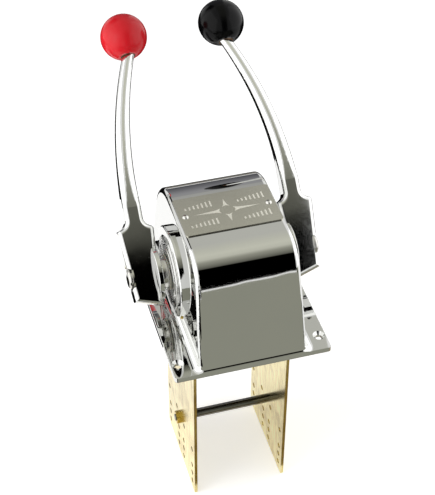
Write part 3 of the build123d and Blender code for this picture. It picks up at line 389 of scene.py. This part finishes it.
# Etched nickel: the acid leaves it paler and matt.
etched_nickel, tree, shader = finish_of("etched_nickel", Metallic=1.0)
place = add(tree, "ShaderNodeTexCoord").outputs["Object"]
bite = add(tree, "ShaderNodeTexNoise", {"Vector": place, "Scale": per_mm(0.7), "Detail": 3.0})
metal = add(tree, "ShaderNodeMix", {"Factor": bite.outputs[0], 6: linear("#E4E2D6"), 7: linear("#F0EEE4")},
            data_type="RGBA")
gloss = add(tree, "ShaderNodeMapRange", {"Value": bite.outputs[0], "To Min": 0.42, "To Max": 0.55})
tree.links.new(metal.outputs[2], shader.inputs["Base Color"])
tree.links.new(gloss.outputs[0], shader.inputs["Roughness"])

low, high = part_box("name_plate")
plate_middle = (Vector(low) + Vector(high)) / 2
plate_top = high[2]
MARK_THICKNESS = 0.00004            # metres
ARROW_HOLLOW = 1.1                  # millimetres, as the rest of the marks


def etched(name, outlines):
    """Thin marks on the name plate, from closed outlines in millimetres about the plate's middle."""
    mesh = bmesh.new()
    for outline in outlines:
        corners = [mesh.verts.new((plate_middle.x + x / 1000, plate_middle.y + y / 1000, plate_top))
                   for x, y in outline]
        face = mesh.faces.new(corners)
        raised = bmesh.ops.extrude_face_region(mesh, geom=[face])
        for vert in raised["geom"]:
            if isinstance(vert, bmesh.types.BMVert):
                vert.co.z += MARK_THICKNESS
    bmesh.ops.recalc_face_normals(mesh, faces=mesh.faces)
    data = bpy.data.meshes.new(name)
    mesh.to_mesh(data)
    mesh.free()
    piece = bpy.data.objects.new(name, data)
    bpy.context.collection.objects.link(piece)
    data.materials.append(etched_nickel)
    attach(piece, "base")
    return piece


def arrow(length, half_width, start, quarter_turns):
    """One arrow of the star, with a hollow base, turned about the plate's middle."""
    neck = start + 0.18 * length
    neck_half_width = 0.55 * half_width
    points = [(start, half_width), (neck, neck_half_width), (start + length, 0.0), (neck, -neck_half_width),
              (start, -half_width), (start + ARROW_HOLLOW, 0.0)]
    cosine, sine = ((1, 0), (0, 1), (-1, 0), (0, -1))[quarter_turns]
    return [(x * cosine - y * sine, x * sine + y * cosine) for x, y in points]


etched("plate_star", [arrow(20.5, 2.6, 5.4, 0), arrow(9.0, 2.9, 4.4, 1),
                      arrow(20.5, 2.6, 5.4, 2), arrow(9.0, 2.9, 4.4, 3)])

TICK_PITCH = 3.4
TICK_COUNT = 7
TICK_WIDTH = 1.3
TICK_SHORTEST = 2.6
TICK_GROWTH = 4.4
SCALE_MIDDLE = 21.0                 # of each scale, from the plate's middle
SCALE_ROW = 10.6
SCALE_DROP = 3.5
ticks = []
for side in (-1, 1):
    for end in (-1, 1):
        for step in range(TICK_COUNT):
            x = side * SCALE_MIDDLE + (step - (TICK_COUNT - 1) / 2) * TICK_PITCH
            tall = TICK_SHORTEST + TICK_GROWTH * step / (TICK_COUNT - 1)
            foot = end * SCALE_ROW - SCALE_DROP
            ticks.append([(x - TICK_WIDTH / 2, foot), (x + TICK_WIDTH / 2, foot),
                          (x + TICK_WIDTH / 2, foot + tall), (x - TICK_WIDTH / 2, foot + tall)])
etched("plate_ticks", ticks)

dress(stainless, "name_plate_screws")

# ---- Side plates under the deck --------------------------------------------------------------------------
# Two plates of rolled brass sheet screwed inside the housing hang below the deck, with rows of holes for
# the clamps of the control cables.

# Rolled brass sheet: pale yellow, drawn out along the plate, with brown stains that a cloth hasn't reached.
brass_sheet, tree, shader = finish_of("rolled_brass_sheet", Metallic=1.0)
place = add(tree, "ShaderNodeTexCoord").outputs["Object"]
rolled_place = add(tree, "ShaderNodeVectorMath", {0: place, 1: (1.0, 1.0, 0.08)}, operation="MULTIPLY")
rolled = add(tree, "ShaderNodeTexNoise", {"Vector": rolled_place.outputs[0], "Scale": per_mm(1.6),
                                          "Detail": 3.0})
stains = add(tree, "ShaderNodeTexNoise", {"Vector": place, "Scale": per_mm(26), "Detail": 5.0,
                                          "Roughness": 0.6})
stain_share = add(tree, "ShaderNodeMapRange", {"Value": stains.outputs[0], "From Min": 0.48,
                                               "From Max": 0.70, "To Min": 0.0, "To Max": 0.5})
streak_share = add(tree, "ShaderNodeMapRange", {"Value": rolled.outputs[0], "From Min": 0.35,
                                                "From Max": 0.65})
clean = add(tree, "ShaderNodeMix", {"Factor": streak_share.outputs[0], 6: linear("#CDBA78"),
                                    7: linear("#EBDFA6")}, data_type="RGBA")
metal = add(tree, "ShaderNodeMix", {"Factor": stain_share.outputs[0], 6: clean.outputs[2],
                                    7: linear("#94763A")}, data_type="RGBA")
gloss = add(tree, "ShaderNodeMapRange", {"Value": stains.outputs[0], "To Min": 0.10, "To Max": 0.30})
height = add(tree, "ShaderNodeBump", {"Height": rolled.outputs[0], "Strength": 0.08, "Distance": 0.0002})
tree.links.new(metal.outputs[2], shader.inputs["Base Color"])
tree.links.new(gloss.outputs[0], shader.inputs["Roughness"])
tree.links.new(height.outputs[0], shader.inputs["Normal"])
dress(brass_sheet, "side_plate_left", "side_plate_right")
dress(turned_brass, "side_plate_screws")

# ---- Tie rod ---------------------------------------------------------------------------------------------
# A drawn steel rod with a thread at each end keeps the side plates apart, with a brass nut outside each.
dress(drawn_steel, "tie_rod")
dress(turned_brass, "tie_rod_nuts")

# ---- Studio ----------------------------------------------------------------------------------------------
# A white floor, a soft box at each side, and a paper tent over the part, black toward the helmsman and pale
# above.  The tent and the cards only show in the chrome.
FLOOR = cad_size[0][2]


def card(name, corners, material, seen=False):
    """A flat piece of the studio."""
    data = bpy.data.meshes.new(name)
    data.from_pydata(corners, [], [tuple(range(len(corners)))])
    data.materials.append(material)
    piece = bpy.data.objects.new(name, data)
    bpy.context.collection.objects.link(piece)
    piece.visible_camera = seen
    piece.visible_diffuse = seen
    piece.visible_shadow = seen
    piece.visible_transmission = seen
    return piece


# White paper: a plain matt sheet, as bright as the backdrop where no shadow falls on it.
paper, tree, shader = finish_of("white_paper", kind="ShaderNodeBsdfDiffuse", Color=linear("#F2F2F2"))
glow = add(tree, "ShaderNodeEmission", {"Color": linear("#FFFFFF"), "Strength": 0.50})
lit = add(tree, "ShaderNodeAddShader", {0: shader.outputs[0], 1: glow.outputs[0]})
rays = add(tree, "ShaderNodeLightPath")
seen_plainly = add(tree, "ShaderNodeMath", {0: rays.outputs["Is Camera Ray"],
                                            1: rays.outputs["Is Transmission Ray"]}, operation="MAXIMUM")
seen_plainly = add(tree, "ShaderNodeMath", {0: seen_plainly.outputs[0], 1: rays.outputs["Is Glossy Ray"]},
                   operation="MAXIMUM")
sheet = add(tree, "ShaderNodeMixShader", {0: seen_plainly.outputs[0], 1: shader.outputs[0],
                                          2: lit.outputs[0]})
tree.links.new(sheet.outputs[0], tree.nodes["Output"].inputs["Surface"])
card("floor", [(-4, -4, FLOOR), (4, -4, FLOOR), (4, 4, FLOOR), (-4, 4, FLOOR)], paper, seen=True)

LOW = FLOOR + 0.002


def lying(left, right, near, far):
    """Corners of a card that lies on the floor."""
    return [(left, near, LOW), (right, near, LOW), (right, far, LOW), (left, far, LOW)]


def upright(left, right, y, bottom, top):
    """Corners of a card that stands across the boat."""
    return [(left, y, bottom), (right, y, bottom), (right, y, top), (left, y, top)]


# Grey cards give the leaning wall its tone: one lies in front, one stands at its edge, and a small one
# stands close to the foot of the wall.
grey_paper, tree, shader = finish_of("grey_paper", kind="ShaderNodeEmission", Color=linear("#9D9E91"))
NEAR_END = -1.3
NEAR_EDGE = -0.20
NEAR_LEFT = -0.10
NEAR_RIGHT = 0.25
NEAR_END_RIGHT = 0.45
card("near_card", [(NEAR_LEFT, NEAR_END, LOW), (NEAR_END_RIGHT, NEAR_END, LOW),
                   (NEAR_RIGHT, NEAR_EDGE, LOW), (NEAR_LEFT, NEAR_EDGE, LOW)], grey_paper)
card("near_flap", upright(NEAR_LEFT, NEAR_RIGHT, NEAR_EDGE, LOW, 0.038), grey_paper)
card("foot_flap", upright(-0.08, 0.10, -0.10, 0.001, 0.022), grey_paper)

# Dark cards beside the grey ones, at the left and behind: they draw the black lines along the chrome's
# edges and round the left cover.
dark_paper, tree, shader = finish_of("dark_paper", kind="ShaderNodeEmission", Color=linear("#0A0A0A"))
card("near_dark_left", [(-0.9, NEAR_END, LOW), (NEAR_LEFT, NEAR_END, LOW), (NEAR_LEFT, NEAR_EDGE, LOW),
                        (-0.5, NEAR_EDGE, LOW)], dark_paper)
card("near_dark_right", [(NEAR_END_RIGHT, NEAR_END, LOW), (0.9, NEAR_END, LOW), (0.5, NEAR_EDGE, LOW),
                         (NEAR_RIGHT, NEAR_EDGE, LOW)], dark_paper)
card("side_card", lying(-0.50, -0.065, 0.13, 0.24), dark_paper)
card("cover_card", lying(-0.105, -0.065, 0.24, 0.27), dark_paper)
card("far_left_card", upright(-0.60, -0.17, 0.93, 0.45, 1.15), dark_paper)
card("far_card", [(-1.1, 0.37, LOW), (-0.01, 0.37, LOW), (-0.01, 0.20, LOW), (1.1, 0.20, LOW),
                  (1.1, 1.8, LOW), (-1.1, 1.8, LOW)], dark_paper)

# Brown card under the front edge: the edges of the brass sheets take their dark gold from it.
brown_paper, tree, shader = finish_of("brown_paper", kind="ShaderNodeEmission", Color=linear("#8C7B52"))
card("near_dark_middle", lying(NEAR_LEFT, NEAR_RIGHT, -0.19, -0.055), brown_paper)

# White paper walls at both sides: they give the chrome its white edges.
bright_paper, tree, shader = finish_of("bright_paper", kind="ShaderNodeEmission", Color=linear("#FFFFFF"),
                                       Strength=1.8)
WALL_FOOT = FLOOR + 0.01
for name, x in (("left_wall", -0.95), ("right_wall", 0.95)):
    card(name, [(x, -1.1, WALL_FOOT), (x, 0.9, WALL_FOOT), (x, 0.9, 1.5), (x, -1.1, 1.5)], bright_paper)

# Paper tent: its light is set by how high it stands, from the black front up to the pale top.
tent_paper, tree, shader = finish_of("tent_paper", kind="ShaderNodeEmission")
axes = add(tree, "ShaderNodeSeparateXYZ", {0: add(tree, "ShaderNodeTexCoord").outputs["Object"]})
toward_front = add(tree, "ShaderNodeMath", {0: axes.outputs["Y"], 1: -1.0}, operation="MULTIPLY")
height_angle = add(tree, "ShaderNodeMath", {0: axes.outputs["Z"], 1: toward_front.outputs[0]},
                   operation="ARCTAN2")
share = add(tree, "ShaderNodeMath", {0: height_angle.outputs[0], 1: math.pi}, operation="DIVIDE")
tone = add(tree, "ShaderNodeValToRGB", {0: share.outputs[0]})
tones = tone.color_ramp
tones.elements[0].position = 0.0
tones.elements[0].color = (0.0, 0.0, 0.0, 1.0)
tones.elements[1].position = 1.0
tones.elements[1].color = (0.08, 0.08, 0.09, 1.0)
for degrees, red, blue in ((46.2, 0.0, 0.0), (48, 0.12, 0.10), (57, 0.25, 0.21), (67, 0.38, 0.32),
                           (77, 0.66, 0.57), (90, 0.73, 0.63), (110, 0.66, 0.58), (134.5, 0.60, 0.56),
                           (138.5, 0.38, 0.38), (145, 0.34, 0.36), (160, 0.20, 0.22)):
    element = tones.elements.new(degrees / 180)
    element.color = (red, red, blue, 1.0)
tree.links.new(tone.outputs[0], shader.inputs["Color"])
TENT_RADIUS = 1.35
TENT_LEFT = -0.24
TENT_RIGHT = 0.46
TENT_FIRST_ANGLE = -9               # degrees up from level at the helmsman's side
TENT_ANGLE = 189
TENT_PANELS = 48
tent = bmesh.new()
ribs = []
for step in range(TENT_PANELS + 1):
    angle = math.radians(TENT_FIRST_ANGLE + TENT_ANGLE * step / TENT_PANELS)
    y, z = -TENT_RADIUS * math.cos(angle), TENT_RADIUS * math.sin(angle)
    ribs.append([tent.verts.new((x, y, z)) for x in (TENT_LEFT, TENT_RIGHT)])
for lower, upper in zip(ribs, ribs[1:]):
    tent.faces.new((lower[0], lower[1], upper[1], upper[0]))
tent_data = bpy.data.meshes.new("tent")
tent.to_mesh(tent_data)
tent.free()
tent_data.materials.append(tent_paper)
tent_piece = bpy.data.objects.new("tent", tent_data)
bpy.context.collection.objects.link(tent_piece)
tent_piece.visible_camera = False
tent_piece.visible_diffuse = False
tent_piece.visible_shadow = False
tent_piece.visible_transmission = False

# Soft boxes: large, so that shadows stay soft and the chrome has white edges on both sides.
for name, place, watts in (("left_soft_box", (-1.25, -0.15, 0.45), 15.0),
                           ("right_soft_box", (1.25, -0.15, 0.45), 6.0)):
    lamp = bpy.data.lights.new(name, "AREA")
    lamp.shape = "RECTANGLE"
    lamp.size = 1.3
    lamp.size_y = 1.1
    lamp.energy = watts
    soft_box = bpy.data.objects.new(name, lamp)
    bpy.context.collection.objects.link(soft_box)
    soft_box.location = place
    soft_box.rotation_euler = (Vector((0, 0, 0)) - Vector(place)).to_track_quat("-Z", "Y").to_euler()

# World: pure white behind the part, and softer light on it.
world = bpy.data.worlds.new("white_studio")
bpy.context.scene.world = world
world.use_nodes = True
tree = world.node_tree
tree.nodes.clear()
rays = add(tree, "ShaderNodeLightPath")
seen = add(tree, "ShaderNodeMath", {0: rays.outputs["Is Camera Ray"], 1: rays.outputs["Is Glossy Ray"]},
           operation="MAXIMUM")
seen = add(tree, "ShaderNodeMath", {0: seen.outputs[0], 1: rays.outputs["Is Transmission Ray"]},
           operation="MAXIMUM")
backdrop = add(tree, "ShaderNodeBackground", {"Color": linear("#FFFFFF"), "Strength": 1.0})
fill = add(tree, "ShaderNodeBackground", {"Color": linear("#FFFFFF"), "Strength": 0.46})
both = add(tree, "ShaderNodeMixShader", {0: seen.outputs[0], 1: fill.outputs[0], 2: backdrop.outputs[0]})
add(tree, "ShaderNodeOutputWorld", {"Surface": both.outputs[0]})

# Camera: a long lens, above and to the left of the helmsman.
camera_data = bpy.data.cameras.new("camera")
camera_data.lens = 95.7
camera_data.sensor_width = 36.0
camera = bpy.data.objects.new("camera", camera_data)
bpy.context.collection.objects.link(camera)
camera.location = (-0.2237, -0.7445, 0.7453)
camera.rotation_euler = (math.radians(48.408), math.radians(-0.217), math.radians(-16.024))
bpy.context.scene.camera = camera
bpy.context.scene.view_settings.view_transform = "Standard"
